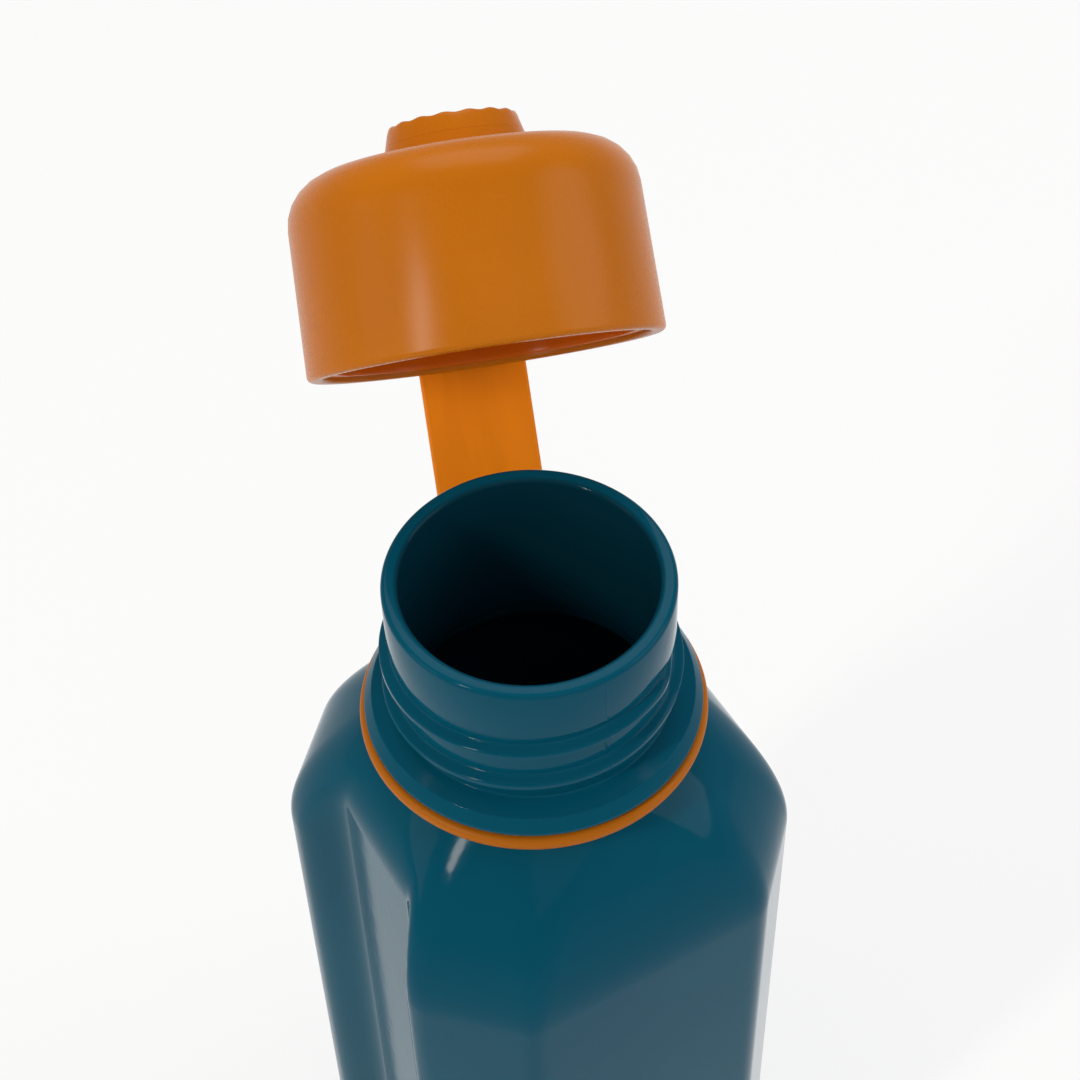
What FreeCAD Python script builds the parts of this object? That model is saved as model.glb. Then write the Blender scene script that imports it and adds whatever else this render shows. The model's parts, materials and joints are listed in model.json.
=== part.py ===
import FreeCAD, Part
import math
import os
from types import SimpleNamespace

import Sketcher

# A screw-top drinking bottle whose cap hangs on a strap.
# Origin: centre of the base. +Z runs up the bottle, +Y towards the strap. Millimetres and degrees.

DIMENSIONS = {
    # body: a square with broad corner facets, turned about Z to face away from the strap
    "half_width": 34.2,
    "half_diagonal": 38.8,
    "corner_radius": 5.0,
    "body_turn": 20.0,
    "wall": 2.0,
    "floor_wall": 2.4,
    "base_round": 5.0,
    "base_ring": 22.0,
    "base_pad": 9.0,
    "base_dish": 1.2,
    # shoulder
    "shoulder_rise": 26.7,
    # side panel
    "panel_depth": 4.0,
    "panel_floor": 9.5,
    "panel_slope": 4.5,
    "panel_low": 24.0,
    # neck: heights down from the rim, thicknesses out from the bore
    "rim_height": 190.0,
    "bore_radius": 18.75,
    "rim_wall": 2.25,
    "rim_round": 1.1,
    "lip_band": 9.5,
    "neck_wall": 1.95,
    "groove_wall": 3.55,
    "shoulder_drop": 32.7,
    "flange_drop": 24.3,
    "flange_step": 2.7,
    "flange_slope": 1.9,
    "flange_fall": 2.3,
    "flange_edge": 0.7,
    # thread, shared by neck and liner
    "thread_pitch": 7.2,
    "thread_depth": 1.5,
    "thread_root_width": 2.8,
    "thread_crest_width": 1.4,
    "thread_drop": 22.5,
    "thread_turn": 100.0,
    "neck_thread_rise": 11.6,
    "liner_thread_rise": 10.0,
    "thread_gap": 0.4,
    # strap
    "ring_gap": 0.5,
    "ring_high": 3.2,
    "ring_wall": 3.4,
    "ring_round": 1.2,
    "strap_width": 17.0,
    "strap_thick": 1.8,
    "bead_radius": 1.6,
    "bead_gap": 0.3,
    "strap_gap": 0.4,
    "strap_reach": 60.0,
    "root_long": 5.2,
    "lean": 48.3,
    # cap
    "cap_draft": 0.7,
    "cap_high": 29.5,
    "cap_round": 6.5,
    "cap_lip_round": 0.8,
    "cap_roof": 2.5,
    "cap_wall": 2.2,
    "liner_wall": 1.55,
    "cap_seat": 0.3,
    "press_gap": 0.05,
    "liner_lift": 0.8,
    "liner_roof": 1.2,
    "gasket_thick": 1.5,
    "gasket_gap": 0.3,
    # button and eye
    "stem_radius": 5.0,
    "stem_gap": 0.08,
    "eye_radius": 9.5,
    "eye_gap": 0.3,
    "button_radius": 9.9,
    "button_high": 3.3,
    "button_round": 1.6,
    "scallop_radius": 1.5,
    "scallop_depth": 0.4,
}
SCALLOPS = 16
SHOULDER_STEPS = (0.0, 0.25, 0.5, 0.75, 0.98)
SHOULDER_POWER = 2

doc = FreeCAD.newDocument("bottle_with_cap")
sheet = doc.addObject("Spreadsheet::Sheet", "sizes")
for row, (alias, number) in enumerate(DIMENSIONS.items(), start=1):
    sheet.set(f"A{row}", alias)
    sheet.set(f"B{row}", str(number))
    sheet.setAlias(f"B{row}", alias)
doc.recompute()


class Size:
    """A length or angle kept both as an expression on the sheet and as its present value."""

    def __init__(self, text, value):
        self.text = text
        self.value = value

    @staticmethod
    def of(other):
        return other if isinstance(other, Size) else Size(repr(float(other)), float(other))

    def __add__(self, other):
        other = Size.of(other)
        return Size(f"({self.text} + {other.text})", self.value + other.value)

    def __sub__(self, other):
        other = Size.of(other)
        return Size(f"({self.text} - {other.text})", self.value - other.value)

    def __mul__(self, other):
        other = Size.of(other)
        return Size(f"({self.text} * {other.text})", self.value * other.value)

    def __truediv__(self, other):
        other = Size.of(other)
        return Size(f"({self.text} / {other.text})", self.value / other.value)

    def __neg__(self):
        return Size(f"(-1 * {self.text})", -self.value)

    def sin(self):
        return Size(f"sin({self.text} * 1 deg)", math.sin(math.radians(self.value)))

    def cos(self):
        return Size(f"cos({self.text} * 1 deg)", math.cos(math.radians(self.value)))


S = SimpleNamespace(**{alias: Size(f"sizes.{alias}", number) for alias, number in DIMENSIONS.items()})
ZERO = Size.of(0)
S.shoulder_top = S.rim_height - S.shoulder_drop
S.shoulder_start = S.shoulder_top - S.shoulder_rise
S.rim_radius = S.bore_radius + S.rim_wall
S.core_radius = S.bore_radius + S.neck_wall
S.groove_radius = S.bore_radius + S.groove_wall
S.flange_flat = S.core_radius + S.flange_step
S.flange_radius = S.flange_flat + S.flange_slope
S.flange_high = S.rim_height - S.flange_drop
S.flange_shoulder = S.flange_high - S.flange_fall
S.flange_low = S.flange_shoulder - S.flange_edge
S.thread_crest = S.core_radius + S.thread_depth
S.thread_first = S.rim_height - S.thread_drop
S.ring_top = S.flange_low - S.ring_gap
S.ring_low = S.ring_top - S.ring_high
S.ring_inner = S.groove_radius + S.ring_gap
S.ring_radius = S.ring_inner + S.ring_wall
S.liner_inner = S.thread_crest + S.thread_gap
S.liner_outer = S.liner_inner + S.liner_wall
S.cap_inner = S.liner_outer + S.press_gap
S.cap_radius = S.cap_inner + S.cap_wall
S.hinge_radius = S.cap_radius + S.strap_gap + S.bead_radius
S.hinge_height = S.ring_low + S.ring_high / 2


def new_body(label):
    body = doc.addObject("PartDesign::Body", label)
    body.Label = label
    return body


def new_sketch(body, name, plane="XY_Plane", lift=ZERO):
    support = next(item for item in body.Origin.OriginFeatures if item.Role == plane)
    sketch = body.newObject("Sketcher::SketchObject", name)
    sketch.AttachmentSupport = (support, [""])
    sketch.MapMode = "FlatFace"
    sketch.setExpression("AttachmentOffset.Base.z", lift.text)
    return sketch


def bind(sketch, constraint, size):
    index = sketch.addConstraint(constraint)
    sketch.setExpression(f"Constraints[{index}]", size.text)


def pin(sketch, shape, end, x, y):
    """Ties one end of a sketch line to a point given by two sizes."""
    for kind, size, axis in (("DistanceX", x, -2), ("DistanceY", y, -1)):
        if abs(size.value) < 1e-9:
            sketch.addConstraint(Sketcher.Constraint("PointOnObject", shape, end, axis))
        elif size.value > 0:
            bind(sketch, Sketcher.Constraint(kind, -1, 1, shape, end, size.value), size)
        else:
            bind(sketch, Sketcher.Constraint(kind, shape, end, -1, 1, -size.value), -size)


def vector(point):
    return FreeCAD.Vector(point[0].value, point[1].value, 0)


def draw_outline(sketch, points):
    """A closed outline of straight lines."""
    points = [(Size.of(x), Size.of(y)) for x, y in points]
    count = len(points)
    lines = []
    for k in range(count):
        segment = Part.LineSegment(vector(points[k]), vector(points[(k + 1) % count]))
        lines.append(sketch.addGeometry(segment, False))
    for k in range(count):
        sketch.addConstraint(Sketcher.Constraint("Coincident", lines[k], 2, lines[(k + 1) % count], 1))
        pin(sketch, lines[k], 1, *points[k])
    return sketch


def draw_box(sketch, x0, x1, y0, y1):
    return draw_outline(sketch, [(x0, y0), (x1, y0), (x1, y1), (x0, y1)])


def draw_circle(sketch, x, y, radius):
    centre = (Size.of(x), Size.of(y))
    round_line = sketch.addGeometry(Part.Circle(vector(centre), FreeCAD.Vector(0, 0, 1), radius.value), False)
    pin(sketch, round_line, 3, *centre)
    bind(sketch, Sketcher.Constraint("Radius", round_line, radius.value), radius)
    return sketch


def draw_octagon(sketch, half, diagonal, radius):
    """A square of half-width half, its corners cut at diagonal from the centre and rounded."""
    vertex = diagonal * math.sqrt(2) - half
    side = vertex - radius * math.tan(math.radians(22.5))
    slip = radius * (1 - math.sqrt(0.5))
    ends = [((half, -side), (half, side)), ((half - slip, vertex + slip), (vertex + slip, half - slip))]
    centres = [(half - radius, side), (side, half - radius)]
    turns = [(quarter, kind) for quarter in range(4) for kind in (0, 1)]

    def rotated(point, quarter):
        for _ in range(quarter):
            point = (-point[1], point[0])
        return point

    lines = []
    arcs = []
    for quarter, kind in turns:
        start, stop = (rotated(end, quarter) for end in ends[kind])
        lines.append(sketch.addGeometry(Part.LineSegment(vector(start), vector(stop)), False))
        circle = Part.Circle(vector(rotated(centres[kind], quarter)), FreeCAD.Vector(0, 0, 1), radius.value)
        first = math.radians(90 * quarter + 45 * kind)
        arcs.append(sketch.addGeometry(Part.ArcOfCircle(circle, first, first + math.pi / 4), False))
        pin(sketch, lines[-1], 1, *start)
        pin(sketch, lines[-1], 2, *stop)
    for k in range(8):
        sketch.addConstraint(Sketcher.Constraint("Coincident", lines[k], 2, arcs[k], 1))
        sketch.addConstraint(Sketcher.Constraint("Coincident", arcs[k], 2, lines[(k + 1) % 8], 1))
        bind(sketch, Sketcher.Constraint("Radius", arcs[k], radius.value), radius)
    return sketch


def feature(body, kind, name, sketch, **settings):
    item = body.newObject(f"PartDesign::{kind}", name)
    item.Profile = sketch
    for key, value in settings.items():
        if isinstance(value, Size):
            item.setExpression(key, value.text)
        else:
            setattr(item, key, value)
    return item


def revolve(body, name, points, kind="Revolution"):
    sketch = draw_outline(new_sketch(body, f"{name}_outline", "XZ_Plane"), points)
    return feature(body, kind, name, sketch, ReferenceAxis=(sketch, ["V_Axis"]), Angle=360)


def pad(body, name, sketch, length, both_ways=False):
    return feature(body, "Pad", name, sketch, Length=length, Midplane=both_ways)


def pocket(body, name, sketch, length, both_ways=False):
    before = body_volume(body)
    item = feature(body, "Pocket", name, sketch, Length=length, Midplane=both_ways)
    assert body_volume(body) < before, f"{name} cuts nothing"
    return item


def body_volume(body):
    doc.recompute()
    return body.Shape.Volume


def round_edges(body, name, radius, chosen):
    """Rounds the edges of the body's present solid for which chosen(edge) holds."""
    doc.recompute()
    base = body.Tip
    names = [f"Edge{k}" for k, edge in enumerate(base.Shape.Edges, start=1) if chosen(edge)]
    assert names, f"{name} found no edge"
    item = body.newObject("PartDesign::Fillet", name)
    item.Base = (base, names)
    item.setExpression("Radius", radius.text)
    return item


def on_circle(radius, height):
    """Chooses the circular edges about the body's own Z axis at one radius and height."""
    def chosen(edge):
        curve = edge.Curve
        if not isinstance(curve, Part.Circle):
            return False
        centred = math.hypot(curve.Center.x, curve.Center.y) < 1e-4
        same_radius = abs(curve.Radius - radius.value) < 1e-4
        return centred and same_radius and abs(curve.Center.z - height.value) < 1e-4
    return chosen


def turn(body, angle):
    body.setExpression("Placement.Rotation.Angle", f"{angle.text} * 1 deg")


def seat(body, outward, along):
    """Places a strap or cap piece at a point of the leaning strap: outward from it and along it."""
    lean_sin = S.lean.sin()
    lean_cos = S.lean.cos()
    leaning = FreeCAD.Rotation(FreeCAD.Vector(1, 0, 0), -S.lean.value)
    body.Placement = FreeCAD.Placement(FreeCAD.Vector(), leaning)
    body.setExpression("Placement.Rotation.Angle", f"-{S.lean.text} * 1 deg")
    body.setExpression("Placement.Base.y", (S.hinge_radius + outward * lean_cos + along * lean_sin).text)
    body.setExpression("Placement.Base.z", (S.hinge_height - outward * lean_sin + along * lean_cos).text)


def helix(body, name, inner, outer, wide, narrow, start, rise):
    """A screw ridge of trapezoid section from radius inner (wide) to radius outer (narrow)."""
    sketch = new_sketch(body, f"{name}_section", "XZ_Plane")
    draw_outline(sketch, [(inner, start - wide / 2), (outer, start - narrow / 2),
                          (outer, start + narrow / 2), (inner, start + wide / 2)])
    return feature(body, "AdditiveHelix", name, sketch, ReferenceAxis=(sketch, ["V_Axis"]),
                   Mode="pitch-height-angle", Pitch=S.thread_pitch, Height=rise, Angle=0)


# Body and shoulder, once for the outside and once for the hollow.

def bottle_form(label, inset, low, neck_radius):
    body = new_body(label)
    half = S.half_width - inset
    diagonal = S.half_diagonal - inset
    corner = S.corner_radius - inset
    sketch = draw_octagon(new_sketch(body, f"{label}_plan", lift=low), half, diagonal, corner)
    pad(body, f"{label}_sides", sketch, S.shoulder_start - low)
    sections = []
    for step in SHOULDER_STEPS:
        share = 1 - step ** SHOULDER_POWER
        height = S.shoulder_start + (S.shoulder_top - S.shoulder_start) * step
        section = new_sketch(body, f"{label}_shoulder_{len(sections)}", lift=height)
        sections.append(draw_octagon(section, neck_radius + (half - neck_radius) * share,
                                     neck_radius + (diagonal - neck_radius) * share,
                                     neck_radius + (corner - neck_radius) * share))
    feature(body, "AdditiveLoft", f"{label}_shoulder", sections[0], Sections=sections[1:], Ruled=False)
    return body


def cut_panel(body, label, inset):
    """A long shallow panel in the -X side, with sloping edges. It runs out into the shoulder."""
    floor = S.half_width - S.panel_depth - inset
    outside = S.half_width + S.panel_depth
    sections = []
    for number, (place, spread) in enumerate(((outside, S.panel_slope * 2), (floor, ZERO))):
        section = new_sketch(body, f"{label}_panel_{number}", "YZ_Plane", lift=-place)
        half = S.panel_floor + spread + inset
        sections.append(draw_box(section, -half, half, S.panel_low - spread - inset, S.shoulder_top))
    feature(body, "SubtractiveLoft", f"{label}_panel", sections[0], Sections=sections[1:], Ruled=True)


outside = bottle_form("bottle_outside", ZERO, ZERO, S.groove_radius)
revolve(outside, "neck", [
    (0, S.shoulder_start), (S.bore_radius, S.shoulder_start), (S.groove_radius, S.shoulder_top),
    (S.groove_radius, S.flange_low), (S.flange_radius, S.flange_low), (S.flange_radius, S.flange_shoulder),
    (S.flange_flat, S.flange_high), (S.core_radius, S.flange_high),
    (S.core_radius, S.rim_height - S.lip_band), (S.rim_radius, S.rim_height - S.lip_band),
    (S.rim_radius, S.rim_height), (0, S.rim_height)])
cut_panel(outside, "outside", ZERO)
round_edges(outside, "rim_round", S.rim_round, on_circle(S.rim_radius, S.rim_height))
round_edges(outside, "base_round", S.base_round, lambda edge: edge.BoundBox.ZMax < 1e-6)
revolve(outside, "base_dish", [(S.base_pad, 0), (S.base_ring, 0),
                               (S.base_ring - S.base_dish * 2, S.base_dish),
                               (S.base_pad + S.base_dish * 2, S.base_dish)], "Groove")
turn(outside, S.body_turn)

thread = new_body("neck_thread")
helix(thread, "neck_ridge", S.core_radius - 0.6, S.thread_crest, S.thread_root_width, S.thread_crest_width,
      S.thread_first, S.neck_thread_rise)
turn(thread, S.thread_turn + S.body_turn)

hollow = bottle_form("bottle_hollow", S.wall, S.floor_wall + S.base_dish, S.bore_radius)
cut_panel(hollow, "hollow", S.wall)
revolve(hollow, "mouth", [(0, S.shoulder_start), (S.bore_radius, S.shoulder_start),
                          (S.bore_radius, S.rim_height - S.rim_round / 2),
                          (S.bore_radius + S.rim_round / 2, S.rim_height), (0, S.rim_height)])
turn(hollow, S.body_turn)

threaded = doc.addObject("Part::Fuse", "bottle_solid")
threaded.Base = outside
threaded.Tool = thread
bottle = doc.addObject("Part::Cut", "bottle")
bottle.Base = threaded
bottle.Tool = hollow

# Loose ring under the flange, with the strap's root and its rounded bead.

ring = new_body("strap_ring")
revolve(ring, "ring_band", [(S.ring_inner, S.ring_low), (S.ring_radius, S.ring_low),
                            (S.ring_radius, S.ring_top), (S.ring_inner, S.ring_top)])
for edge_name, edge_height in (("ring_round_low", S.ring_low), ("ring_round_high", S.ring_top)):
    round_edges(ring, edge_name, S.ring_round, on_circle(S.ring_radius, edge_height))
lug = new_sketch(ring, "lug_section", "YZ_Plane")
draw_box(lug, S.ring_radius - S.ring_round, S.hinge_radius,
         S.hinge_height - S.strap_thick / 2, S.hinge_height + S.strap_thick / 2)
pad(ring, "ring_lug", lug, S.strap_width, True)
bead = new_sketch(ring, "bead_section", "YZ_Plane")
draw_circle(bead, S.hinge_radius, S.hinge_height, S.bead_radius)
pad(ring, "root_bead", bead, S.strap_width, True)

# The flat band: a short root and two equal halves, which let it bow into a loop when the cap is down.
# Each has a hollow end over one bead and a bead at its other end.

half_band = (S.strap_reach + S.eye_gap + S.strap_thick / 2 - S.root_long) / 2
bands = []
for label, along, length in (("strap_root", ZERO, S.root_long), ("strap_lower", S.root_long, half_band),
                             ("strap_upper", S.root_long + half_band, half_band)):
    band = new_body(label)
    bands.append(band)
    section = new_sketch(band, f"{label}_section", "YZ_Plane")
    draw_box(section, -S.strap_thick / 2, S.strap_thick / 2, 0, length)
    pad(band, f"{label}_band", section, S.strap_width, True)
    bead = draw_circle(new_sketch(band, f"{label}_bead_section", "YZ_Plane"), 0, length, S.bead_radius)
    pad(band, f"{label}_bead", bead, S.strap_width, True)
    socket = new_sketch(band, f"{label}_socket_section", "YZ_Plane")
    draw_circle(socket, 0, 0, S.bead_radius + S.bead_gap)
    pocket(band, f"{label}_socket", socket, S.strap_width * 2, True)
    seat(band, ZERO, along)

# The eye lies flat on the cap, from the top bead to the button's stem.

eye = new_body("strap_eye")
tongue = draw_box(new_sketch(eye, "tongue_plan"), -S.strap_width / 2, S.strap_width / 2, -S.hinge_radius, 0)
pad(eye, "eye_tongue", tongue, S.strap_thick, True)
disc = draw_circle(new_sketch(eye, "disc_plan"), 0, -S.hinge_radius, S.eye_radius)
pad(eye, "eye_disc", disc, S.strap_thick, True)
hole = draw_circle(new_sketch(eye, "hole_plan"), 0, -S.hinge_radius, S.stem_radius + S.stem_gap)
pocket(eye, "eye_hole", hole, S.strap_thick * 2, True)
socket = draw_circle(new_sketch(eye, "eye_socket_section", "YZ_Plane"), 0, 0, S.bead_radius + S.bead_gap)
pocket(eye, "eye_socket", socket, S.strap_width * 2, True)
seat(eye, ZERO, S.root_long + half_band * 2)

# Cap pieces, each about its own Z axis with the cap's open edge at zero.

cap_top = S.cap_high
roof_low = S.cap_high - S.cap_roof
stem_hole = S.stem_radius + S.press_gap

shell = new_body("cap_shell")
revolve(shell, "shell_cup", [(stem_hole, cap_top), (stem_hole, roof_low), (S.cap_inner, roof_low),
                             (S.cap_inner, 0), (S.cap_radius, 0), (S.cap_radius - S.cap_draft, cap_top)])
round_edges(shell, "shell_round", S.cap_round, on_circle(S.cap_radius - S.cap_draft, cap_top))
round_edges(shell, "lip_round", S.cap_lip_round, on_circle(S.cap_radius, ZERO))

liner = new_body("cap_liner")
liner_ceiling = roof_low - S.liner_roof
closed_edge = S.flange_high + S.cap_seat
first_ridge = S.thread_first - S.thread_pitch * (S.thread_turn + S.body_turn) / 360 + S.thread_pitch / 2
revolve(liner, "liner_sleeve", [(0, roof_low), (0, liner_ceiling), (S.liner_inner, liner_ceiling),
                                (S.liner_inner, S.liner_lift), (S.liner_outer, S.liner_lift),
                                (S.liner_outer, roof_low)])
helix(liner, "liner_ridge", S.liner_inner + 0.6, S.rim_radius + S.thread_gap, S.thread_root_width,
      S.thread_crest_width, first_ridge - closed_edge, S.liner_thread_rise)

gasket = new_body("cap_gasket")
gasket_radius = S.liner_inner - S.gasket_gap
gasket_low = liner_ceiling - S.gasket_thick
revolve(gasket, "gasket_disc", [(0, gasket_low), (gasket_radius, gasket_low),
                                (gasket_radius, liner_ceiling), (0, liner_ceiling)])

button = new_body("cap_button")
head_low = cap_top + S.eye_gap * 2 + S.strap_thick
head_top = head_low + S.button_high
revolve(button, "button_head", [(0, roof_low), (S.stem_radius, roof_low), (S.stem_radius, head_low),
                                (S.button_radius, head_low), (S.button_radius, head_top), (0, head_top)])
round_edges(button, "button_round", S.button_round, on_circle(S.button_radius, head_top))
scallop = draw_circle(new_sketch(button, "scallop_plan", lift=head_low), 0,
                      S.button_radius + S.scallop_radius - S.scallop_depth, S.scallop_radius)
notch = feature(button, "Pocket", "scallop", scallop, Length=S.button_high * 2, Midplane=True)
doc.recompute()
pattern = button.newObject("PartDesign::PolarPattern", "scallops")
pattern.Originals = [notch]
pattern.Axis = (scallop, ["N_Axis"])
pattern.Angle = 360
pattern.Occurrences = SCALLOPS
button.Tip = pattern

for piece in (shell, liner, gasket, button):
    seat(piece, -S.hinge_radius, S.strap_reach - S.cap_high)

doc.recompute()
for item in doc.Objects:
    assert not {"Invalid", "Error"} & set(item.State), f"{item.Name} failed: {item.State}"

PIECES = (bottle, ring, *bands, eye, shell, liner, gasket, button)
for piece in PIECES:
    solid = piece.Shape
    assert not solid.isNull() and solid.isValid(), f"{piece.Label} has no sound shape"
    assert len(solid.Solids) == 1, f"{piece.Label} has {len(solid.Solids)} solids"

os.makedirs("parts", exist_ok=True)
for piece in PIECES:
    piece.Shape.exportStep(f"parts/{piece.Label}.step")
    print(f"{piece.Label:14s} {piece.Shape.Volume / 1000:8.2f} cm3")
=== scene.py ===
# %% [markdown]
# # A drinking bottle with a screw cap on a strap
# The bottle is one piece of glossy teal plastic: a square body with broad corner facets, a shoulder that
# closes in to a round screw neck, and one long recessed panel. A loose orange ring sits under the neck's
# flange, and a flat strap runs from it to the orange cap, which leans back here. The fixed frame holds the
# real sizes and joints, so it is loaded first and every piece below is shaped around it. Shapes are written
# in millimetres, and become Blender's metres when a mesh is made.

# %% Load the frame
import json
import math

import bmesh
import bpy
import numpy as np
from mathutils import Matrix, Vector

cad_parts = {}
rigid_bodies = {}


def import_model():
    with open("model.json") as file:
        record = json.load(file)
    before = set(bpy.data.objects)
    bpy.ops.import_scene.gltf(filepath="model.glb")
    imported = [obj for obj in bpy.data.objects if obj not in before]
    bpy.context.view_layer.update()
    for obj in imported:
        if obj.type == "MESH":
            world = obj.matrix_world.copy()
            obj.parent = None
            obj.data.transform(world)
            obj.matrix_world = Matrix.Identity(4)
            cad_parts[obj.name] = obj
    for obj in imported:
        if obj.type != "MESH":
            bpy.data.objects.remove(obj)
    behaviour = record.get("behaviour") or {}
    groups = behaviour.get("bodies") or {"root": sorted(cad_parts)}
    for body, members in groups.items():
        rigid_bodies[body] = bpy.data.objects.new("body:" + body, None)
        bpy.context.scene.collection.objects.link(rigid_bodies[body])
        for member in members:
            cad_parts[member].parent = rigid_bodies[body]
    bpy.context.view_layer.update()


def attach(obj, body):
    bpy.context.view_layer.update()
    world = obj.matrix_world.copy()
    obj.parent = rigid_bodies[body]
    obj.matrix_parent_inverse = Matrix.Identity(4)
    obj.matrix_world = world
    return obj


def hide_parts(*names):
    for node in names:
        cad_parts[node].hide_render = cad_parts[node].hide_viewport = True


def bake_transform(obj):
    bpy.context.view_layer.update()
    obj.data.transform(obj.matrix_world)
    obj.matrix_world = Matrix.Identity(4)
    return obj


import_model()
MM = 0.001

# %% [markdown]
# ## Skinning a stack of rings
# Almost every piece here is round, as moulded bottles and caps are: a profile swept once round an axis.
# Blender's Screw modifier could do that from a drawn curve. Writing the rings directly has one advantage:
# the radius may change with the angle too, which gives threads and facets in the same way.

# %% Pieces from rings
SHARP_EDGE = math.radians(38)


def piece_from(name, points, faces):
    """A mesh piece from points in millimetres, smooth shaded except across sharp edges."""
    mesh = bpy.data.meshes.new(name)
    mesh.from_pydata([Vector(p) * MM for p in points], [], faces)
    shape = bmesh.new()
    shape.from_mesh(mesh)
    bmesh.ops.recalc_face_normals(shape, faces=shape.faces)
    shape.to_mesh(mesh)
    shape.free()
    mesh.shade_smooth()
    mesh.set_sharp_from_angle(angle=SHARP_EDGE)
    piece = bpy.data.objects.new(name, mesh)
    bpy.context.scene.collection.objects.link(piece)
    print(name, len(mesh.vertices), "points")
    return piece


def stack(rings, angles):
    """Skins a list of rings. A ring is (radii, height); a single radius of 0 is a point on the axis."""
    count = len(angles)
    points, starts = [], []
    for radii, height in rings:
        starts.append((len(points), len(radii)))
        turn = angles if len(radii) == count else angles[:1]
        points += [(r * math.cos(a), r * math.sin(a), height) for r, a in zip(radii, turn)]
    faces = []
    for (first, many), (after, others) in zip(starts, starts[1:]):
        for k in range(count):
            n = (k + 1) % count
            low = [first + k, first + n] if many == count else [first]
            high = [after + n, after + k] if others == count else [after]
            faces.append(low + high)
    return points, faces


print("skinning: edges over", round(math.degrees(SHARP_EDGE)), "degrees stay sharp")

# %% [markdown]
# ## The bottle's cross-section
# Cut across, the body is a square with its corners planed off at 45 degrees and the new edges rounded. The
# function gives the distance from the axis in any direction. Going up the shoulder, the three numbers that
# shape it close in on the neck's radius together, so the same formula ends in a true circle. A bevelled
# cube could give the body, but not a shoulder that turns round as it rises. A few directions are added
# beside the parting line, which is finer than a degree.

# %% Faceted section
HALF, DIAGONAL, CORNER, TURN = 34.2, 38.8, 5.0, 20.0
SHOULDER_LOW, SHOULDER_HIGH = 130.6, 157.3
SEAM_ANGLES, SEAM_FINE = (110, 290), (-0.4, -0.2, 0.2, 0.4)
SEAM_DIRECTIONS = [angle + off for angle in SEAM_ANGLES for off in SEAM_FINE]
DIRECTIONS = np.radians(sorted([*range(360), *SEAM_DIRECTIONS]))
LOCAL = DIRECTIONS - math.radians(TURN)


def faceted(half, diagonal, corner):
    """The faceted section's radius in each direction."""
    fold = np.abs((LOCAL + math.pi / 4) % (math.pi / 2) - math.pi / 4)
    vertex = diagonal * math.sqrt(2) - half
    side = vertex - corner * math.tan(math.pi / 8)
    slip = corner * (1 - math.sqrt(0.5))
    flat_end = math.atan2(side, half)
    facet_start = math.atan2(vertex + slip, half - slip)
    towards = np.cos(fold) * (half - corner) + np.sin(fold) * side
    inside_arc = towards ** 2 - (half - corner) ** 2 - side ** 2 + corner ** 2
    rounded = towards + np.sqrt(np.maximum(inside_arc, 0))
    flat = half / np.cos(fold)
    facet = diagonal / np.cos(math.pi / 4 - fold)
    return np.where(fold <= flat_end, flat, np.where(fold >= facet_start, facet, rounded))


def body_radius(z, inset, neck):
    """The plain body and shoulder at one height, moved in by inset, closing to the neck's radius."""
    climb = min(max((z - SHOULDER_LOW) / (SHOULDER_HIGH - SHOULDER_LOW), 0), 1)
    share = 1 - climb ** 2
    sizes = [neck + (size - inset - neck) * share for size in (HALF, DIAGONAL, CORNER)]
    return faceted(*sizes)


print("body:", 2 * HALF, "mm across the flats,", 2 * DIAGONAL, "mm across the corner facets")

# %% [markdown]
# ## Soft joins
# Where two surfaces meet, the nearer or the farther one wins. A plain minimum would leave a knife edge, so
# these versions round the crossing over a chosen width, as the edges of a mould are rounded.

# %% Soft minimum and maximum
def soft_min(a, b, blend):
    """The smaller of two surfaces, rounded where they cross."""
    near = np.maximum(blend - np.abs(a - b), 0) / blend
    return np.minimum(a, b) - near * near * blend / 4


def soft_max(a, b, blend):
    """The larger of two surfaces, rounded where they cross."""
    return -soft_min(-a, -b, blend)


print("where two surfaces cross, soft_min cuts", -soft_min(0.0, 0.0, 2.4), "mm off")

# %% [markdown]
# ## The recessed panel
# One main side has a long sunk panel with sloping edges and a plain floor. A Boolean cut could sink it, but
# would leave its edges sharp. Here the panel's floor and slopes give a distance along each direction, and
# the smaller of that and the plain side wins. The soft minimum rounds every edge. The inside of the wall
# follows the same panel, and it has a soft turn where the bore opens into the shoulder.

# %% Panel and wall
GROOVE, BORE, WALL = 22.3, 18.5, 2.0
PANEL_FLOOR, PANEL_LOW, PANEL_RUN = 28.9, 24.0, 1.125
PANEL_WIDE, PANEL_NARROW = 12.6, 10.1
PANEL_HALF = np.where(np.sin(LOCAL) < 0, PANEL_WIDE, PANEL_NARROW)
PANEL_BLEND, PANEL_INNER_BLEND, BORE_TURN = 2.4, 1.3, 6.0
FAR_AWAY, FACING, LEANING = 400.0, 0.3, 0.05


def plain(radius):
    """The same radius in every direction."""
    return np.full_like(DIRECTIONS, radius)


def panel_radius(z, inset):
    """Distance to the panel's floor and slopes on the side that faces away from +X of the body."""
    ahead = -np.cos(LOCAL)
    aside = np.abs(np.sin(LOCAL))
    floor = PANEL_FLOOR - inset
    far = plain(FAR_AWAY)
    with np.errstate(divide="ignore", invalid="ignore"):
        flat = np.where(ahead > FACING, floor / ahead, far)
        lean = ahead - aside / PANEL_RUN
        slope = np.where(lean > LEANING, (floor - (PANEL_HALF + inset) / PANEL_RUN) / lean, far)
        end = np.where(ahead > FACING, (floor + (PANEL_LOW - inset - z) / PANEL_RUN) / ahead, far)
    return soft_max(soft_max(flat, slope, PANEL_BLEND), end, PANEL_BLEND)


def outside_radius(z):
    """The outside of the wall at one height."""
    return soft_min(body_radius(z, 0, GROOVE), panel_radius(z, 0), PANEL_BLEND)


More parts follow.
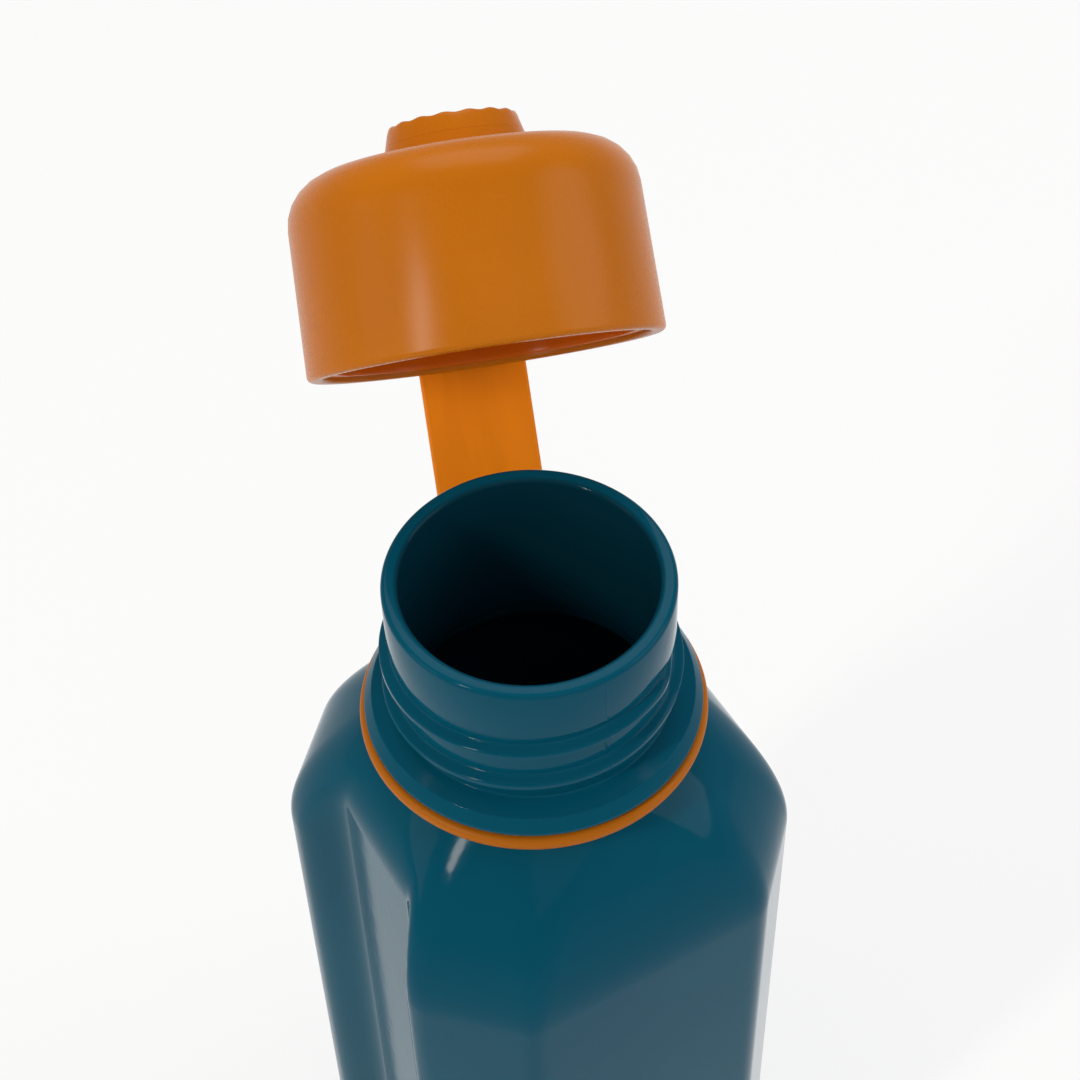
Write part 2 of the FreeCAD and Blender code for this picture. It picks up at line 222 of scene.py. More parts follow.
def inside_radius(z):
    """The inside of the wall at one height."""
    opened = body_radius(z, WALL, BORE) - max(z - SHOULDER_HIGH, 0)
    bored = soft_max(plain(BORE), opened, BORE_TURN)
    return soft_min(bored, panel_radius(z, WALL), PANEL_INNER_BLEND)


print("panel:", round(HALF - PANEL_FLOOR, 1), "mm deep,", PANEL_WIDE + PANEL_NARROW, "mm wide on its floor")

# %% [markdown]
# ## The screw ridge
# The neck and the cap's inside carry ridges of one shape, a rounded trapezoid that climbs 7.2 mm a turn. A
# profile swept along a helix would have to be joined to the wall. Written as a height over the plain wall
# for each angle and height, the ridge is part of it, with ends that run out gently, as a mould cuts them.

# %% Ridge
PITCH = 7.2
ROOT_WIDTH, CREST_WIDTH = 2.8, 1.4
RUN_OUT = 24


def ease(x):
    """Rises smoothly from 0 to 1."""
    x = np.clip(x, 0, 1)
    return x * x * (3 - 2 * x)


def ridge(angles, z, start_angle, start_height, rise):
    """How far the ridge stands out, from 0 to 1."""
    turns = (angles - math.radians(start_angle)) / (2 * math.pi) % 1
    end_climb = PITCH * RUN_OUT / 360
    high = np.zeros_like(angles)
    for lap in range(int(rise / PITCH) + 1):
        climb = PITCH * (turns + lap)
        ends = ease(climb / end_climb) * ease((rise - climb) / end_climb)
        flank = (ROOT_WIDTH / 2 - np.abs(z - start_height - climb)) / ((ROOT_WIDTH - CREST_WIDTH / 2) / 2)
        high = np.maximum(high, ease(flank) * ends)
    return high


print("ridge:", PITCH, "mm a turn,", ROOT_WIDTH, "mm wide at the root")

# %% [markdown]
# ## Rounded profiles
# A mould has no perfectly sharp edges, so each corner of a profile carries its own radius. The corner is
# replaced by an arc that touches both of its edges, and it never takes more than half of an edge. A Bevel
# modifier would round every edge alike; here a lip can be crisp and a cap's top generous.

# %% Rounded corners
EDGE_SHARE = 0.49


def soften(corners, closed=False, steps=6):
    """Rounds the corners (r, z, radius) of a profile."""
    profile = []
    for k, (r, z, radius) in enumerate(corners):
        here = Vector((r, z))
        if radius == 0 or (not closed and k in (0, len(corners) - 1)):
            profile.append(here)
            continue
        back = Vector(corners[k - 1][:2]) - here
        on = Vector(corners[(k + 1) % len(corners)][:2]) - here
        half = back.angle(on) / 2
        reach = min(radius / math.tan(half), EDGE_SHARE * back.length, EDGE_SHARE * on.length)
        back, on = back.normalized(), on.normalized()
        middle = here + (back + on).normalized() * (reach / math.cos(half))
        first, last = here + back * reach - middle, here + on * reach - middle
        bend = math.pi - 2 * half
        for step in range(steps + 1):
            a, b = math.sin((1 - step / steps) * bend), math.sin(step / steps * bend)
            profile.append(middle + (first * a + last * b) / math.sin(bend))
    return profile


print("a rounded corner has", len(soften([(0, 0, 0), (9, 0, 1), (9, 9, 0)])) - 2, "points")

# %% [markdown]
# ## The parting line
# Where the halves of the mould meet, a hair of extra plastic stands out on the neck. A bump in the finish
# would show it too, but the line would be missing from the mesh, so it is added to the radius.

# %% Parting line
SEAM_HIGH, SEAM_REACH = 0.07, math.radians(0.4)
SEAM_LOW, SEAM_STOP = 163, 1.2


def seam():
    """The parting line: a hair of extra material at two opposite angles."""
    high = plain(0.0)
    for angle in SEAM_ANGLES:
        gap = np.abs((DIRECTIONS - math.radians(angle) + math.pi) % (2 * math.pi) - math.pi)
        high = np.maximum(high, SEAM_HIGH * ease(1 - gap / SEAM_REACH))
    return high


print("parting line:", SEAM_HIGH, "mm high at", SEAM_ANGLES, "degrees")

# %% [markdown]
# ## The whole bottle as one skin
# Rings run from the middle of the base, out and up the sides, over the shoulder, groove, flange and thread
# to the rim, and back down the inside, so the mesh is closed and has a real wall. Heights are close
# together only where the shape bends.

# %% Bottle
BASE_ROUND, BASE_PAD, BASE_RING, BASE_DISH, DISH_RUN = 5.0, 9, 22, 1.2, 2.4
THREAD = dict(start_angle=120, start_height=167.5, rise=11.6)
THREAD_DEPTH, CORE, LIP, LIP_SLACK = 1.5, 20.7, 21, 0.2
RIM, FLOOR_TOP = 190.0, 3.6
BASE_PROFILE = [(1, 0, 0), (BASE_PAD, 0, 0.6), (BASE_PAD + DISH_RUN, BASE_DISH, 0.6),
                (BASE_RING - DISH_RUN, BASE_DISH, 0.6), (BASE_RING, 0, 0.6), (25, 0, 0)]
NECK_PROFILE = [(GROOVE, 157.6, 0), (GROOVE, 162.7, 0.5), (25.3, 162.7, 0.3), (25.3, 163.4, 0.45),
                (24.1, 165.4, 0.3), (CORE, 166.1, 0.7), (CORE, 166.8, 0)]
LIP_PROFILE = [(CORE, 180.3, 0), (CORE, 180.5, 0.1), (LIP, 180.6, 0.1), (LIP, RIM, 0.8),
               (BORE, RIM, 0.8), (BORE, 176, 0)]
INNER_FLOOR = ((3.2, 5), (6, 3.8), (9, 3.6))


def spread(low, high, step):
    """Even heights from low to high, about one step apart."""
    return list(np.linspace(low, high, max(int(round((high - low) / step)), 1) + 1))


SIDE_HEIGHTS = (spread(5, 16, 3)[1:] + spread(16, 28, 0.5)[1:] + spread(28, 126, 7)[1:]
                + spread(126, 157.3, 0.55)[1:])
THREAD_HEIGHTS = spread(166.9, 180.25, 0.09)
INNER_HEIGHTS = (spread(146, 165, 0.8)[::-1] + spread(131, 145, 1.5)[::-1] + spread(20, 130, 10)[::-1]
                 + [12, 8])
rings = [([0.0], 0.0)]
rings += [(plain(r), z) for r, z in soften(BASE_PROFILE)]
for tilt in np.radians(spread(0, 90, 11.25)):
    inset = BASE_ROUND * (1 - math.sin(tilt))
    rings.append((body_radius(0, inset, 0), BASE_ROUND * (1 - math.cos(tilt))))
rings += [(outside_radius(z), z) for z in SIDE_HEIGHTS]
for r, z in soften(NECK_PROFILE):
    rings.append((plain(r) + seam() * (z > SEAM_LOW), z))
for z in THREAD_HEIGHTS:
    rings.append((CORE + THREAD_DEPTH * ridge(DIRECTIONS, z, **THREAD) + seam(), z))
for r, z in soften(LIP_PROFILE):
    on_wall = r > LIP - LIP_SLACK and z < RIM - SEAM_STOP
    rings.append((plain(r) + seam() * on_wall, z))
rings += [(inside_radius(z), z) for z in INNER_HEIGHTS]
rings += [(body_radius(z, inset, 0), z) for inset, z in INNER_FLOOR]
rings.append(([0.0], FLOOR_TOP))

bottle = piece_from("bottle_skin", *stack(rings, DIRECTIONS))
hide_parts("bottle")
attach(bottle, "bottle")

# %% [markdown]
# ## Turning a profile
# The ring and the pieces of the cap are round, so a rounded profile and a number of steps round the axis is
# all they need. A closed profile joins its last ring to its first, which makes a hollow band. A function
# may still change the radius with the angle, for the ridge inside the cap.

# %% Turned pieces
AROUND, ON_AXIS = 192, 1e-6


def turned(name, corners, around=AROUND, radius_at=None, closed=False):
    """A piece turned from a profile. radius_at(angles, r, z) may change the radius with the angle."""
    angles = np.arange(around) * 2 * math.pi / around
    profile = soften(corners, closed)
    if closed:
        profile.append(profile[0])
    rings = []
    for r, z in profile:
        if r < ON_AXIS:
            rings.append(([0.0], z))
        elif radius_at is None:
            rings.append(([r] * around, z))
        else:
            rings.append((radius_at(angles, r, z), z))
    points, faces = stack(rings, angles)
    if closed:
        last = len(points) - around
        faces = [[v - last if v >= last else v for v in face] for face in faces]
        points = points[:last]
    return piece_from(name, points, faces)


print("turned pieces have", AROUND, "steps round unless they ask for more")

# %% [markdown]
# ## The loose ring
# A thin round band under the flange lets the strap travel round the neck. It clears the groove by half a
# millimetre, and its outer edges are rounded over almost their whole height.

# %% Neck ring
RING = dict(inner=22.8, outer=26.1, low=159.95, high=162.2)
RING_EDGE, RING_INNER_EDGE = 1.0, 0.4
ring = turned("neck_ring_band", [
    (RING["inner"], RING["low"], RING_INNER_EDGE), (RING["outer"], RING["low"], RING_EDGE),
    (RING["outer"], RING["high"], RING_EDGE), (RING["inner"], RING["high"], RING_INNER_EDGE)],
    around=240, closed=True)
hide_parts("strap_ring")
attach(ring, "neck_ring")

# %% [markdown]
# ## The strap's section and path
# The real strap is one flat flexible band with rounded edges. A curve with a bevel would make a ribbon or a
# tube; a rounded flat section carried along a path of points gives the band its true thickness. The path
# only ever bends in the plane of the lean, so a point of it is so far up the strap and so far out from it.

# %% Strap section and path
LEAN = math.radians(48.3)
HINGE = Vector((0, 28.4, 160.6))
ALONG = Vector((0, math.sin(LEAN), math.cos(LEAN)))
OUTWARD = Vector((0, math.cos(LEAN), -math.sin(LEAN)))
STRAP_WIDE, STRAP_THICK, STRAP_EDGE, STRAP_STEP = 17.0, 1.8, 0.55, 0.8


def at_strap(along, outward=0.0):
    """A point of the leaning strap: so far up it from the hinge, and so far out from it."""
    return HINGE + ALONG * along + OUTWARD * outward


def band(name, path):
    """A flat band with rounded edges along a path in the YZ plane."""
    wide, thick = STRAP_WIDE / 2, STRAP_THICK / 2
    corners = ((-wide, -thick), (wide, -thick), (wide, thick), (-wide, thick))
    section = soften([(x, t, STRAP_EDGE) for x, t in corners], closed=True, steps=4)
    points, faces = [], []
    for k, here in enumerate(path):
        ahead = (path[min(k + 1, len(path) - 1)] - path[max(k - 1, 0)]).normalized()
        across = Vector((0, ahead.z, -ahead.y))
        points += [here + Vector((x, 0, 0)) + across * t for x, t in section]
    many = len(section)
    for k in range(len(path) - 1):
        for n in range(many):
            m = (n + 1) % many
            faces.append([k * many + n, k * many + m, (k + 1) * many + m, (k + 1) * many + n])
    faces += [list(range(many)), [len(points) - many + n for n in range(many)]]
    return piece_from(name, points, faces)


def bent(corners):
    """A path through corner points (along, outward, radius), rounded and evenly divided."""
    path = [at_strap(a, o) for a, o in soften(corners, steps=10)]
    fine = []
    for here, there in zip(path, path[1:]):
        many = max(int((there - here).length / STRAP_STEP), 1)
        fine += [here.lerp(there, k / many) for k in range(many)]
    return fine + [path[-1]]


print("strap:", STRAP_WIDE, "by", STRAP_THICK, "mm, leaning", round(math.degrees(LEAN), 1), "degrees")

# %% [markdown]
# ## The strap in four lengths
# The frame has the strap as stiff links, so here it becomes four lengths of band that meet end to end.
# Each one is built along its own stretch of the path, in the pose shown, and the frame's link that it
# stands for is hidden. The lengths are not attached to any body, so they don't move with the joints.

# %% Strap lengths
ROOT_INSIDE, ROOT_TOP, FOLD_LOW, FOLD_HIGH = 24.2, 2.6, 19.2, 47.2
EYE_UP, EYE_LONG = 61.2, 21.5
inside_ring = Vector((0, ROOT_INSIDE, HINGE.z)) - HINGE
root_start = (inside_ring.dot(ALONG), inside_ring.dot(OUTWARD), 0)
STRAP_PARTS = [
    ("strap_root_band", "strap_root", "neck_ring", "root",
     [root_start, (0, 0, 2.5), (ROOT_TOP, 0, 0)], (-2.2, 0), (2.2, 0)),
    ("strap_lower_band", "strap_lower", "root", "lower_band",
     [(ROOT_TOP, 0, 0), (FOLD_LOW, 0, 0)], (2.7, 0), (7.7, 0)),
    ("strap_upper_band", "strap_upper", "lower_band", "upper_band",
     [(FOLD_LOW, 0, 0), (FOLD_HIGH, 0, 0)], (30.2, 0), (36.2, 0)),
    ("strap_eye_band", "strap_eye", "upper_band", "eye",
     [(FOLD_HIGH, 0, 0), (EYE_UP, 0, 3.2), (EYE_UP, -EYE_LONG, 0)], (56.7, 0), (EYE_UP, -4.5)),
]
strap = []
for name, node, before, after, corners, start, end in STRAP_PARTS:
    piece = band(name, bent(corners))
    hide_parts(node)
    at_strap(*start) * MM
    at_strap(*end) * MM
    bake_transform(piece)
    strap.append(piece)

# %% [markdown]
# ## The cap's shell
# The cap is two mouldings pressed together: a satin outer shell with a generous top radius, and a glossy
# inner sleeve that carries the screw ridge. Each piece is turned upright with the cap's open edge at zero
# and then set on the leaning axis in one step, which keeps its numbers plain.

# %% Cap shell
CAP_TOP, CAP_HIGH, CAP_RADIUS, CAP_DRAFT, CAP_INNER = 60.0, 29.5, 26.4, 0.7, 24.2
ROOF_LOW, STEM_HOLE, SHELL_DOME = 27.0, 5.05, 0.5
SET_CAP = (Matrix.Translation(at_strap(CAP_TOP - CAP_HIGH, -HINGE.y) * MM)
           @ Matrix.Rotation(-LEAN, 4, "X"))


def set_on_cap(piece, node, body="cap"):
    """Moves an upright piece to the leaning cap and lets it ride there."""
    piece.data.transform(SET_CAP)
    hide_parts(node)
    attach(piece, body)


shell = turned("cap_outer_shell", [
    (STEM_HOLE, CAP_HIGH, 0), (CAP_RADIUS - CAP_DRAFT, CAP_HIGH - SHELL_DOME, 7.5), (CAP_RADIUS, 0, 0.8),
    (CAP_INNER, 0, 0.5), (CAP_INNER, ROOF_LOW, 5.5), (STEM_HOLE, ROOF_LOW, 0)], around=256, closed=True)
set_on_cap(shell, "cap_shell")

# %% [markdown]
# ## The sleeve and its gasket
# The sleeve's inner wall has many close heights, so that the ridge can climb it. A soft gasket sits at the
# top of the sleeve, where it would meet the bottle's rim.

# %% Sleeve and gasket
LINER_RIDGE = dict(start_angle=0, start_height=2.7, rise=10.0)
LINER_INNER, LINER_OUTER, LINER_DEPTH, LINER_LOW, LINER_ROOF = 22.6, 24.15, 1.2, 0.8, 25.8
LINER_HEIGHTS = spread(1.6, 16.0, 0.12)[::-1]
SAME_RADIUS = 0.01


def liner_radius(directions, r, z):
    """The sleeve's radius: its inner wall carries the ridge."""
    inner = abs(r - LINER_INNER) < SAME_RADIUS
    return r - LINER_DEPTH * ridge(directions, z, **LINER_RIDGE) * inner


liner = turned("cap_inner_sleeve", [
    (0, LINER_ROOF, 0), (LINER_INNER, LINER_ROOF, 3.5), *((LINER_INNER, z, 0) for z in LINER_HEIGHTS),
    (LINER_INNER, LINER_LOW, 0.3), (LINER_OUTER, LINER_LOW, 0.3), (LINER_OUTER, ROOF_LOW, 5.5),
    (0, ROOF_LOW, 0)], around=256, radius_at=liner_radius)
set_on_cap(liner, "cap_liner")
gasket = turned("cap_gasket_disc", [
    (0, 24.5, 0), (16, 24.5, 0.2), (17, 24.3, 0.2), (21.7, 24.3, 0.3), (20.9, 25.0, 0), (19, 25.75, 0),
    (0, 25.75, 0)])
set_on_cap(gasket, "cap_gasket")

# %% [markdown]
# ## The knob and the strap's eye
# A knob with a notched edge stands on the cap's top and holds the strap's eye under its head, so the cap
# can turn while the strap stays. The knob is turned first, and then its top edge is dipped sixteen times
# round. Moving points of a finished mesh is the simplest way where a shape isn't the same all the way up.

# %% Knob and eye
KNOB_TOP, KNOB_LOW, STEM = 34.7, 31.9, 5
NOTCH_DEEP, NOTCHES = 0.24, 16
NOTCH_START, NOTCH_RUN, NOTCH_FOOT, NOTCH_RISE = 6, 3, 33, 2
EYE_LOW, EYE_HIGH, EYE_HOLE = 29.6, 31.88, 5.1


def cut_notches(piece):
    """Dips the knob's top edge, most at the rim and fading out down its side."""
    for vertex in piece.data.vertices:
        x, y, z = vertex.co / MM
        wave = (1 + math.cos(NOTCHES * math.atan2(y, x))) / 2
        near_rim = ease((math.hypot(x, y) - NOTCH_START) / NOTCH_RUN)
        near_top = ease((z - NOTCH_FOOT) / NOTCH_RISE)
        vertex.co = Vector((x, y, z - NOTCH_DEEP * wave * float(near_rim * near_top))) * MM


knob = turned("cap_knob", [
    (0, ROOF_LOW, 0), (STEM, ROOF_LOW, 0), (STEM, KNOB_LOW, 0.1), (10.15, KNOB_LOW, 0), (9.85, 33, 0),
    (9.6, 34, 0), (9.3, KNOB_TOP, 1.0), (7, KNOB_TOP, 0), (5.5, KNOB_TOP, 0), (0, KNOB_TOP, 0)], around=320)
cut_notches(knob)
set_on_cap(knob, "cap_button")
eye = turned("strap_eye_boss", [
    (EYE_HOLE, EYE_LOW, 0.3), (10.77, EYE_LOW, 0.3), (10.16, EYE_HIGH, 0), (EYE_HOLE, EYE_HIGH, 0.3)],
    around=320, closed=True)
set_on_cap(eye, "strap_eye", "eye")

# %% [markdown]
# ## Writing shader maths as sums
# A finish is a small graph of shader nodes. Joining Math nodes by hand is slow to read, so one class wraps
# a socket, and `a * 2 + b` builds the nodes. The reflected operators let a plain number stand first.

# %% Wires
class Wire:
    """One value inside a graph of nodes."""

    def __init__(self, tree, socket):
        self.tree = tree
        self.socket = socket

    def combine(self, operation, *others):
        node = self.tree.nodes.new("ShaderNodeMath")
        node.operation = operation
        for slot, value in zip(node.inputs, (self, *others)):
            plug(self.tree, value, slot)
        return Wire(self.tree, node.outputs[0])

    def __add__(self, other):
        return self.combine("ADD", other)

    def __sub__(self, other):
        return self.combine("SUBTRACT", other)

    def __rsub__(self, other):
        return self * -1 + other

    def __mul__(self, other):
        return self.combine("MULTIPLY", other)

    __radd__ = __add__
    __rmul__ = __mul__


def plug(tree, value, slot):
    """Links a wire to a socket, or sets the socket to a plain value."""
    if isinstance(value, Wire):
        tree.links.new(value.socket, slot)
    else:
        slot.default_value = value


print("wires: sums, differences and products become Math nodes")

# %% [markdown]
# ## A graph of nodes
# Every node other than maths comes from one method, which sets the node's options first, because they
# change its sockets, and then fills the sockets. The finishes and the surround both use it.

# %% Graphs
class Graph:
    """A tree of shader nodes."""

    def __init__(self, tree):
        self.tree = tree

    def node(self, kind, settings=None, sockets=None, output=0):
        node = self.tree.nodes.new(kind)
        for key, value in (settings or {}).items():
            setattr(node, key, value)
        for key, value in (sockets or {}).items():
            plug(self.tree, value, node.inputs[key])
        return Wire(self.tree, node.outputs[output])

    def between(self, value, low, high, curve="SMOOTHSTEP"):
        """0 below low, 1 above high, and a ramp in between."""
        sockets = {"Value": value, "From Min": low, "From Max": high}
        return self.node("ShaderNodeMapRange", {"interpolation_type": curve}, sockets)


print("graphs: one method makes every node that isn't maths")

# %% [markdown]
# ## Finishes
# A finish is a graph with one main shader: values that never vary are set on the shader itself, and
# patterns are fed into its colour, roughness and normal. The patterns use the object's own coordinates, so
# no piece has to be unwrapped.

# %% Finishes
class Finish(Graph):
    """A material with one main shader."""

    def __init__(self, name, specular):
        self.material = bpy.data.materials.new(name)
        self.material.use_nodes = True
        super().__init__(self.material.node_tree)
        self.shader = self.tree.nodes["Principled BSDF"]
        self.shader.inputs["Specular IOR Level"].default_value = specular

    def place(self):
        return self.node("ShaderNodeTexCoord", output="Object")

    def noise(self, scale, detail=3.0, rough=0.5, where=None):
        sockets = {"Vector": where or self.place(), "Scale": scale, "Detail": detail, "Roughness": rough}
        return self.node("ShaderNodeTexNoise", sockets=sockets)

    def stretched(self, x, y, z):
        sockets = {0: self.place(), 1: (x, y, z)}
        return self.node("ShaderNodeVectorMath", {"operation": "MULTIPLY"}, sockets)

    def mix(self, amount, first, second):
        colours = [value if isinstance(value, Wire) else (*value, 1.0) for value in (first, second)]
        sockets = {0: amount, 6: colours[0], 7: colours[1]}
        return self.node("ShaderNodeMix", {"data_type": "RGBA"}, sockets, output=2)

    def bump(self, height, strength, distance):
        sockets = {"Height": height, "Strength": strength, "Distance": distance}
        return self.node("ShaderNodeBump", sockets=sockets)

    def feed(self, **wires):
        for key, wire in wires.items():
            plug(self.tree, wire, self.shader.inputs[key.replace("_", " ").title()])

    def cover(self, *pieces):
        for piece in pieces:
            piece.data.materials.clear()
            piece.data.materials.append(self.material)
        print(self.material.name, "on", [piece.name for piece in pieces])


print("finishes: ready to cover pieces")

# %% [markdown]
# ## Teal bottle plastic
# Injection-moulded plastic this glossy still isn't perfect: the colour drifts a little, the gloss has
# cloudy patches, there are hairline scuffs, and the skin has a faint orange-peel that only shows in
# reflections. Light hardly reaches into the neck in the photograph, so shade is painted there: the wall of
# the bore is coloured darker, towards a near-black teal.

# %% Teal
BORE_EDGE, BORE_CLEAR = (BORE + 0.1) * MM, (BORE + 0.9) * MM
PAINTED_SHADE_LOW, PAINTED_SHADE_HIGH, PAINTED_SHADE_SHARE = 0.10, 0.15, 0.6

teal = Finish("teal_bottle_plastic", specular=0.055)
cloud = teal.noise(scale=22, detail=4)
speck = teal.between(teal.noise(scale=700, detail=2), 0.72, 0.80)
scuffs = teal.noise(scale=60, detail=6, rough=0.6, where=teal.stretched(9, 9, 0.6))
hair = teal.between(scuffs, 0.60, 0.70)
tone = teal.mix(teal.between(cloud, 0.3, 0.7), (0.001, 0.072, 0.122), (0.001, 0.082, 0.135))
tone = teal.mix(speck * 0.12, tone, (0.01, 0.13, 0.19))
from_axis = teal.node("ShaderNodeVectorMath", {"operation": "LENGTH"}, {0: teal.stretched(1, 1, 0)}, "Value")
height = teal.node("ShaderNodeSeparateXYZ", sockets={0: teal.place()}, output="Z")
# Painted shade: the wall of the bore is coloured darker towards the neck, standing in for the shade there.
in_bore = 1 - teal.between(from_axis, BORE_EDGE, BORE_CLEAR)
painted_neck_shade = in_bore * teal.between(height, PAINTED_SHADE_LOW, PAINTED_SHADE_HIGH)
tone = teal.mix(painted_neck_shade * PAINTED_SHADE_SHARE, tone, (0.002, 0.008, 0.012))
peel = teal.noise(scale=420, detail=2) * 0.6 + teal.noise(scale=90, detail=2)
teal.feed(base_color=tone, roughness=0.06 + cloud * 0.05 + hair * 0.05 + speck * 0.05,
          normal=teal.bump(peel, strength=0.05, distance=0.0006))
teal.cover(bottle)

# %% [markdown]
# ## Orange satin for the cap
# The cap's shell, its knob and the strap's eye have a fine satin grain, so their highlights are soft bands.
# A few faint marks catch the light a little differently.

# %% Satin orange
satin = Finish("orange_cap_satin", specular=0.11)
cloud = satin.noise(scale=28, detail=4)
grain = satin.noise(scale=1900, detail=2)
scuffs = satin.noise(scale=140, detail=5, rough=0.65, where=satin.stretched(1, 1, 3))
mark = satin.between(scuffs, 0.66, 0.76)
tone = satin.mix(satin.between(cloud, 0.3, 0.7), (0.52, 0.143, 0.003), (0.57, 0.160, 0.004))
tone = satin.mix(mark * 0.2, tone, (0.62, 0.24, 0.04))
satin.feed(base_color=tone, roughness=0.22 + cloud * 0.06 + grain * 0.05 + mark * 0.06,
           normal=satin.bump(grain, strength=0.025, distance=0.0003))
satin.cover(shell, knob, eye)

# %% [markdown]
# ## Softer orange for the strap, and a painted-shade copy for the ring
# The strap is a softer plastic with flow lines along it. The ring is the same plastic, and lies in shade
# under the flange in the photograph, so its copy of the plastic is coloured darker: a painted shade.

# %% Strap and ring orange
soft = Finish("orange_strap_plastic", specular=0.1)
cloud = soft.noise(scale=35, detail=4)
flow = soft.noise(scale=70, detail=3, rough=0.5, where=soft.stretched(4, 0.6, 0.6))
tone = soft.mix(soft.between(flow, 0.35, 0.65), (0.87, 0.236, 0.004), (0.93, 0.257, 0.005))
soft.feed(base_color=tone, roughness=0.36 + cloud * 0.10 + flow * 0.06,
          normal=soft.bump(soft.noise(scale=700, detail=2), strength=0.05, distance=0.0003))
soft.cover(*strap)

# Painted shade: the ring's plastic is a darker copy of the strap's, for the shade under the flange.
shaded = Finish("orange_ring_painted_shade", specular=0.1)
cloud = shaded.noise(scale=35, detail=4)
tone = shaded.mix(shaded.between(cloud, 0.3, 0.7), (0.42, 0.117, 0.003), (0.46, 0.130, 0.004))
shaded.feed(base_color=tone, roughness=0.34 + cloud * 0.10,
            normal=shaded.bump(shaded.noise(scale=700, detail=2), strength=0.05, distance=0.0003))
shaded.cover(ring)

# %% [markdown]
# ## Glossy sleeve and pale rubber
# The sleeve is smooth and glossy, with a little clouding in the gloss. The gasket is pale rubber with a
# fine grain.

# %% Sleeve orange and gasket rubber
gloss = Finish("orange_sleeve_gloss", specular=0.15)
cloud = gloss.noise(scale=40, detail=4)
tone = gloss.mix(gloss.between(cloud, 0.3, 0.7), (0.66, 0.120, 0.002), (0.72, 0.140, 0.003))
gloss.feed(base_color=tone, roughness=0.16 + cloud * 0.10,
           normal=gloss.bump(gloss.noise(scale=300, detail=2), strength=0.04, distance=0.0004))
gloss.cover(liner)

rubber = Finish("pale_gasket_rubber", specular=0.35)
cloud = rubber.noise(scale=60, detail=5)
tone = rubber.mix(cloud, (0.66, 0.64, 0.58), (0.74, 0.72, 0.67))
rubber.feed(base_color=tone, roughness=0.6 + cloud * 0.15,
            normal=rubber.bump(rubber.noise(scale=1200, detail=3), strength=0.1, distance=0.0003))
rubber.cover(gasket)

# %% [markdown]
# ## The white table
# The photograph looks down on a white table. A wide pale floor keeps the soft shadow round the bottle. Seen
# directly or in a reflection it is mixed with plain white, so it looks about as pale as the photograph's
# without any more light on the bottle. Light Path tells which kind of ray is looking.

# %% Table
FLOOR_HALF, WHITE_SHARE = 4.0, 0.7
SEEN_BY = ("Is Camera Ray", "Is Glossy Ray", "Is Transmission Ray")
floor_mesh = bpy.data.meshes.new("floor")
floor_corners = [(x * FLOOR_HALF, y * FLOOR_HALF, 0) for x, y in ((-1, -1), (1, -1), (1, 1), (-1, 1))]
floor_mesh.from_pydata(floor_corners, [], [(0, 1, 2, 3)])
floor = bpy.data.objects.new("floor", floor_mesh)
bpy.context.scene.collection.objects.link(floor)

paper = Finish("white_table", specular=0.1)
shade = paper.noise(scale=3, detail=3)
paper.feed(base_color=paper.mix(shade, (0.93, 0.93, 0.93), (0.95, 0.95, 0.95)), roughness=0.8 + shade * 0.1)
seen = sum(paper.node("ShaderNodeLightPath", output=ray) for ray in SEEN_BY)
glow = paper.node("ShaderNodeEmission", sockets={"Color": (1, 1, 1, 1), "Strength": 1.0})
lit = Wire(paper.tree, paper.shader.outputs[0])
both = paper.node("ShaderNodeMixShader", sockets={0: seen * WHITE_SHARE, 1: lit, 2: glow})
plug(paper.tree, both, paper.tree.nodes["Material Output"].inputs["Surface"])
paper.cover(floor)

# %% [markdown]
# ## Soft lights
# Five soft lights all point at the neck. A narrow one on the left makes the bright streak on the shoulder
# and the band on the cap, a larger one beside it fills that side, and broad ones on the right, in front and
# behind light the rest. Large lights give soft shadows, as a studio's do.

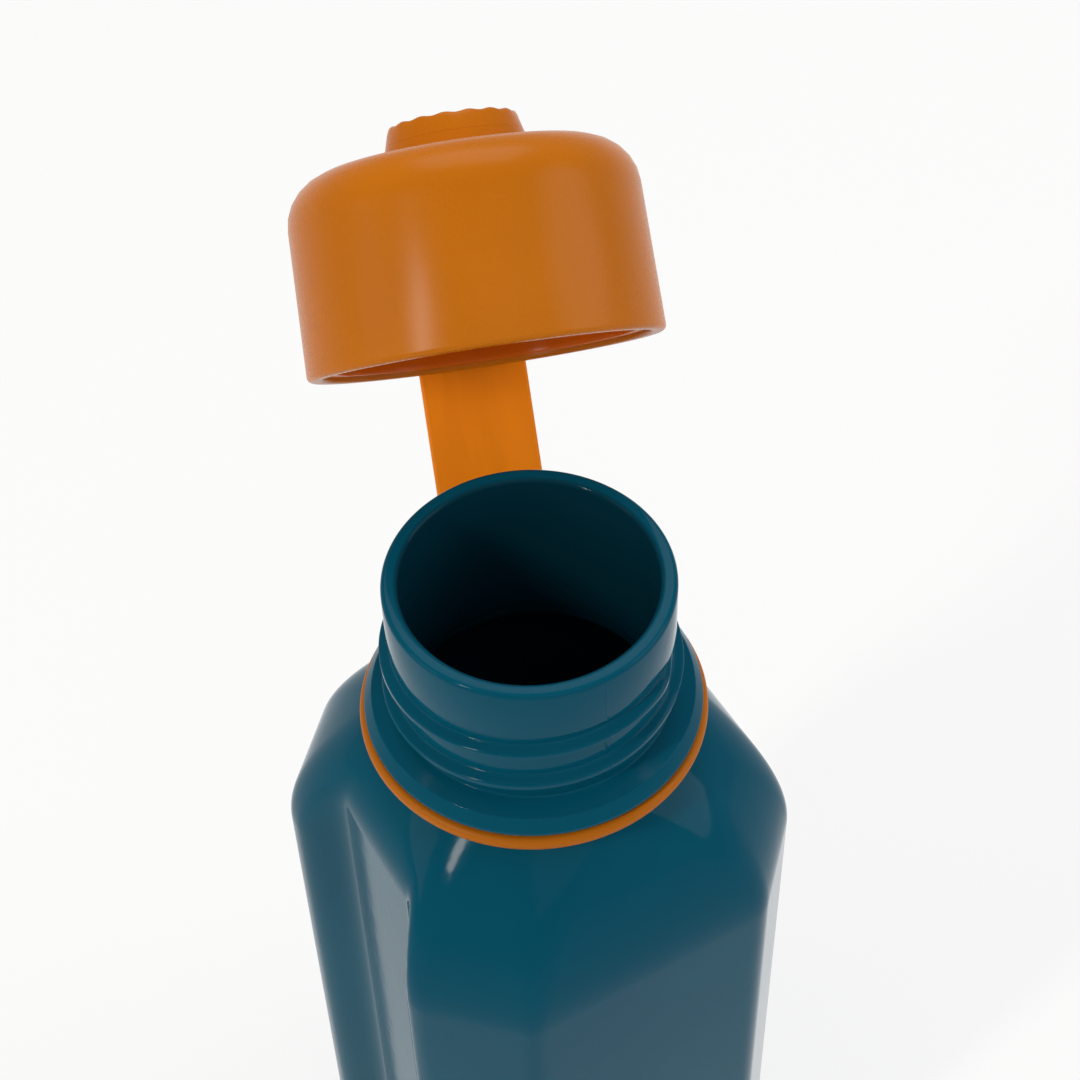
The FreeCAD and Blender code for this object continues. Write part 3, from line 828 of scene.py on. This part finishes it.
# %% Lights
NECK = Vector((0, 0, 0.18))
SOFT_LIGHTS = [
    ("left_softbox", (-0.68, -0.44, 0.78), (0.085, 0.28), 3.4, (1.0, 0.97, 0.90)),
    ("side_softbox", (-0.92, -0.10, 0.50), (0.35, 0.40), 0.7, (1.0, 0.95, 0.84)),
    ("right_softbox", (0.87, -0.20, 0.63), (0.60, 0.60), 2.6, (1, 1, 1)),
    ("front_softbox", (0.31, -1.15, 1.25), (1.2, 0.9), 1.6, (1, 1, 1)),
    ("back_softbox", (0.10, 0.65, 1.20), (1.0, 0.8), 7.0, (1, 1, 1)),
]
for name, place, size, watts, colour in SOFT_LIGHTS:
    data = bpy.data.lights.new(name, "AREA")
    data.shape = "RECTANGLE"
    data.size, data.size_y = size
    data.energy = watts
    data.color = colour
    light = bpy.data.objects.new(name, data)
    light.location = place
    light.rotation_euler = (NECK - Vector(place)).to_track_quat("-Z", "Y").to_euler()
    bpy.context.scene.collection.objects.link(light)
    print(name, watts, "W")

# %% [markdown]
# ## The surround
# A room's walls are brighter than its ceiling here, so the glossy shoulder has something to reflect. The
# strength falls with the height of the direction looked in. To the camera itself the surround is plain
# white.

# %% Surround
WALLS, CEILING, CEILING_FROM = 0.55, 0.32, 0.5
world = bpy.data.worlds.new("white_surround")
world.use_nodes = True
bpy.context.scene.world = world
sky = Graph(world.node_tree)
background = sky.tree.nodes["Background"]
background.inputs["Color"].default_value = (1, 1, 1, 1)
facing = sky.node("ShaderNodeTexCoord", output="Generated")
upward = sky.node("ShaderNodeSeparateXYZ", sockets={0: facing}, output="Z")
graded = WALLS - sky.between(upward, 0.0, CEILING_FROM, "LINEAR") * (WALLS - CEILING)
in_view = sky.node("ShaderNodeLightPath", output="Is Camera Ray")
plug(sky.tree, graded + in_view * (1 - graded), background.inputs["Strength"])
print("surround:", WALLS, "at the walls,", CEILING, "at the ceiling")

# %% [markdown]
# ## The camera
# The place, direction and roll come from fitting the circles of the rim, flange and ring to the photograph.
# It stands close and looks steeply down into the mouth.

# %% Camera
EYE = Vector((-0.03103, -0.20690, 0.44180))
LOOK = Vector((0.10189, 0.64329, -0.75881)).normalized()
ROLL = math.radians(-1.8916)
LENS, SENSOR, NEAREST = 77.63, 36, 0.01
level = LOOK.cross(Vector((0, 0, 1))).normalized()
rise = level.cross(LOOK)
right = level * math.cos(ROLL) + rise * math.sin(ROLL)
up = rise * math.cos(ROLL) - level * math.sin(ROLL)
camera = bpy.data.objects.new("camera", bpy.data.cameras.new("camera"))
camera.data.lens = LENS
camera.data.sensor_width = SENSOR
camera.data.clip_start = NEAREST
camera.matrix_world = Matrix((right, up, -LOOK)).transposed().to_4x4()
camera.location = EYE
bpy.context.scene.collection.objects.link(camera)
bpy.context.scene.camera = camera
bpy.context.scene.view_settings.view_transform = "Standard"
print("camera:", round(EYE.z - RIM * MM, 3), "m above the rim")
